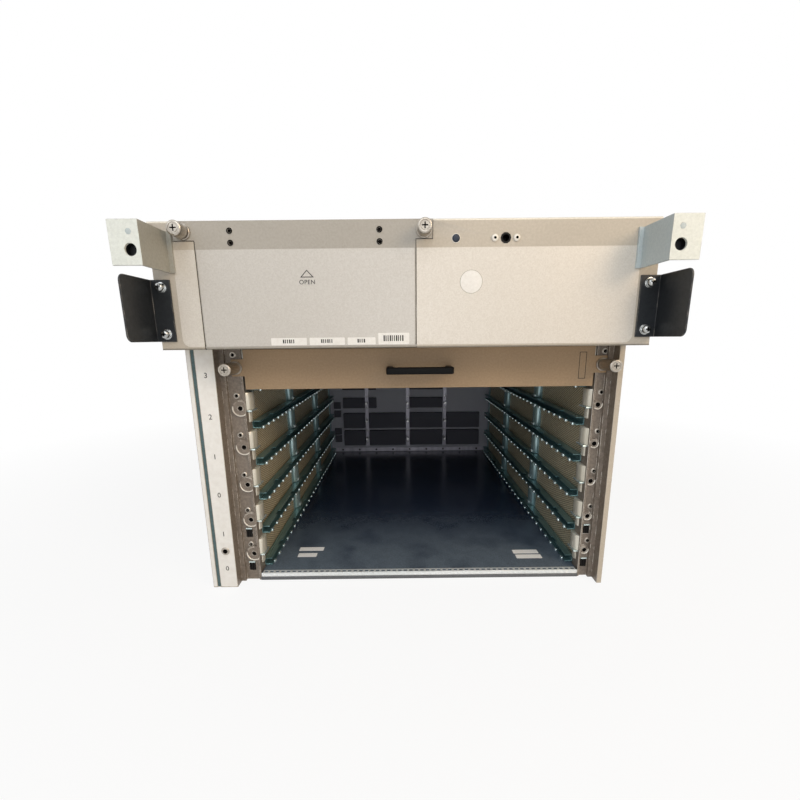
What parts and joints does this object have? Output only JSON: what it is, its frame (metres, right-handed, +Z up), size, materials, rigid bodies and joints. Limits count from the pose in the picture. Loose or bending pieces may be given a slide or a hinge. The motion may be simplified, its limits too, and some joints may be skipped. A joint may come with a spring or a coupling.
{
  "type": "ethernet router chassis",
  "caption": "Rack-mount sheet-metal router chassis with an open card cage, slotted side walls, backplane, hinged fan door over slide-in fan trays, and a slide-out slot filler.",
  "frame": {"origin": "bottom centre of the whole chassis, on the underside of the base pan", "axes": "+X to the right seen from the front, +Y into the chassis from its front, +Z up"},
  "size_m": [0.4634, 0.7404, 0.3795],
  "materials": {
    "case_paint": "satin",
    "bezel_paint": "satin",
    "post_paint": "satin",
    "bracket_paint": "satin",
    "cage_zinc": "zinc plated",
    "screen_steel": "perforated",
    "deck_paint": "gloss",
    "gasket_steel": "bright",
    "guide_metal": "satin",
    "board_laminate": "matte",
    "connector_plastic": "matte",
    "pin_steel": "ground",
    "knob_nickel": "nickel plated",
    "jack_nickel": "nickel plated",
    "guard_paint": "satin",
    "screw_chrome": "bright",
    "lamp_lens": "clear",
    "socket_plastic": "matte",
    "filler_paint": "satin",
    "pull_plastic": "matte",
    "rotor_plastic": "matte"
  },
  "bodies": {
    "chassis": {"air_screen_left": "screen_steel", "air_screen_right": "screen_steel", "alarm_socket": "socket_plastic", "backplane_board": "board_laminate", "backplane_guide_pins": "pin_steel", "base_pan": "case_paint", "bezel_hood": "bezel_paint", "cage_roof": "cage_zinc", "card_guide_left_control_0": "guide_metal", "card_guide_left_control_1": "guide_metal", "card_guide_left_line_0": "guide_metal", "card_guide_left_line_1": "guide_metal", "card_guide_left_line_2": "guide_metal", "card_guide_left_line_3": "guide_metal", "card_guide_right_control_0": "guide_metal", "card_guide_right_control_1": "guide_metal", "card_guide_right_line_0": "guide_metal", "card_guide_right_line_1": "guide_metal", "card_guide_right_line_2": "guide_metal", "card_guide_right_line_3": "guide_metal", "fan_tray_0": "cage_zinc", "fan_tray_1": "cage_zinc", "floor_deck": "deck_paint", "front_bracket_left": "bracket_paint", "front_bracket_right": "bracket_paint", "front_post_left": "post_paint", "front_post_right": "post_paint", "ground_jack": "jack_nickel", "guard_screws": "screw_chrome", "guide_frame_left": "cage_zinc", "guide_frame_right": "cage_zinc", "hinge_pin": "pin_steel", "rear_panel": "case_paint", "side_guard_left": "guard_paint", "side_guard_right": "guard_paint", "side_panel_left": "case_paint", "side_panel_right": "case_paint", "sill_gasket": "gasket_steel", "slot_connectors_control_0": "connector_plastic", "slot_connectors_control_1": "connector_plastic", "slot_connectors_line_0": "connector_plastic", "slot_connectors_line_1": "connector_plastic", "slot_connectors_line_2": "connector_plastic", "slot_connectors_line_3": "connector_plastic", "socket_screws": "screw_chrome", "status_lamp": "lamp_lens", "top_cover": "case_paint"},
    "fan_door": {"fan_door": "bezel_paint"},
    "door_screw_left": {"door_screw_left": "knob_nickel"},
    "door_screw_right": {"door_screw_right": "knob_nickel"},
    "slot_filler": {"slot_filler_panel": "filler_paint", "filler_pull": "pull_plastic"},
    "filler_screw_left": {"filler_screw_left": "knob_nickel"},
    "filler_screw_right": {"filler_screw_right": "knob_nickel"},
    "fan_rotor_0_0": {"fan_rotor_0_0": "rotor_plastic"},
    "fan_rotor_0_1": {"fan_rotor_0_1": "rotor_plastic"},
    "fan_rotor_0_2": {"fan_rotor_0_2": "rotor_plastic"},
    "fan_rotor_1_0": {"fan_rotor_1_0": "rotor_plastic"},
    "fan_rotor_1_1": {"fan_rotor_1_1": "rotor_plastic"},
    "fan_rotor_1_2": {"fan_rotor_1_2": "rotor_plastic"}
  },
  "joints": [
    {"name": "fan_door_hinge", "type": "hinge", "parent": "chassis", "child": "fan_door", "pos_m": [-0.0878, -0.32555, 0.2717], "axis": [1, 0, 0], "range_deg": [0, 100]},
    {"name": "door_screw_left_turn", "type": "hinge", "parent": "fan_door", "child": "door_screw_left", "pos_m": [-0.1938, -0.32775, 0.3702], "axis": [0, 1, 0], "continuous": true},
    {"name": "door_screw_right_turn", "type": "hinge", "parent": "fan_door", "child": "door_screw_right", "pos_m": [0.0164, -0.32775, 0.3702], "axis": [0, 1, 0], "continuous": true},
    {"name": "slot_filler_slide", "type": "slide", "parent": "chassis", "child": "slot_filler", "axis": [0, -1, 0], "range_m": [0, 0.04]},
    {"name": "filler_screw_left_turn", "type": "hinge", "parent": "slot_filler", "child": "filler_screw_left", "pos_m": [-0.1785, -0.27625, 0.2493], "axis": [0, 1, 0], "continuous": true},
    {"name": "filler_screw_right_turn", "type": "hinge", "parent": "slot_filler", "child": "filler_screw_right", "pos_m": [0.2068, -0.27625, 0.2493], "axis": [0, 1, 0], "continuous": true},
    {"name": "fan_rotor_0_0_spin", "type": "hinge", "parent": "chassis", "child": "fan_rotor_0_0", "pos_m": [-0.13535, -0.23225, 0.285], "axis": [0, 0, 1], "continuous": true},
    {"name": "fan_rotor_0_1_spin", "type": "hinge", "parent": "chassis", "child": "fan_rotor_0_1", "pos_m": [-0.13535, -0.06725, 0.285], "axis": [0, 0, 1], "continuous": true},
    {"name": "fan_rotor_0_2_spin", "type": "hinge", "parent": "chassis", "child": "fan_rotor_0_2", "pos_m": [-0.13535, 0.09775, 0.285], "axis": [0, 0, 1], "continuous": true},
    {"name": "fan_rotor_1_0_spin", "type": "hinge", "parent": "chassis", "child": "fan_rotor_1_0", "pos_m": [-0.04025, -0.23225, 0.285], "axis": [0, 0, 1], "continuous": true},
    {"name": "fan_rotor_1_1_spin", "type": "hinge", "parent": "chassis", "child": "fan_rotor_1_1", "pos_m": [-0.04025, -0.06725, 0.285], "axis": [0, 0, 1], "continuous": true},
    {"name": "fan_rotor_1_2_spin", "type": "hinge", "parent": "chassis", "child": "fan_rotor_1_2", "pos_m": [-0.04025, 0.09775, 0.285], "axis": [0, 0, 1], "continuous": true}
  ]
}
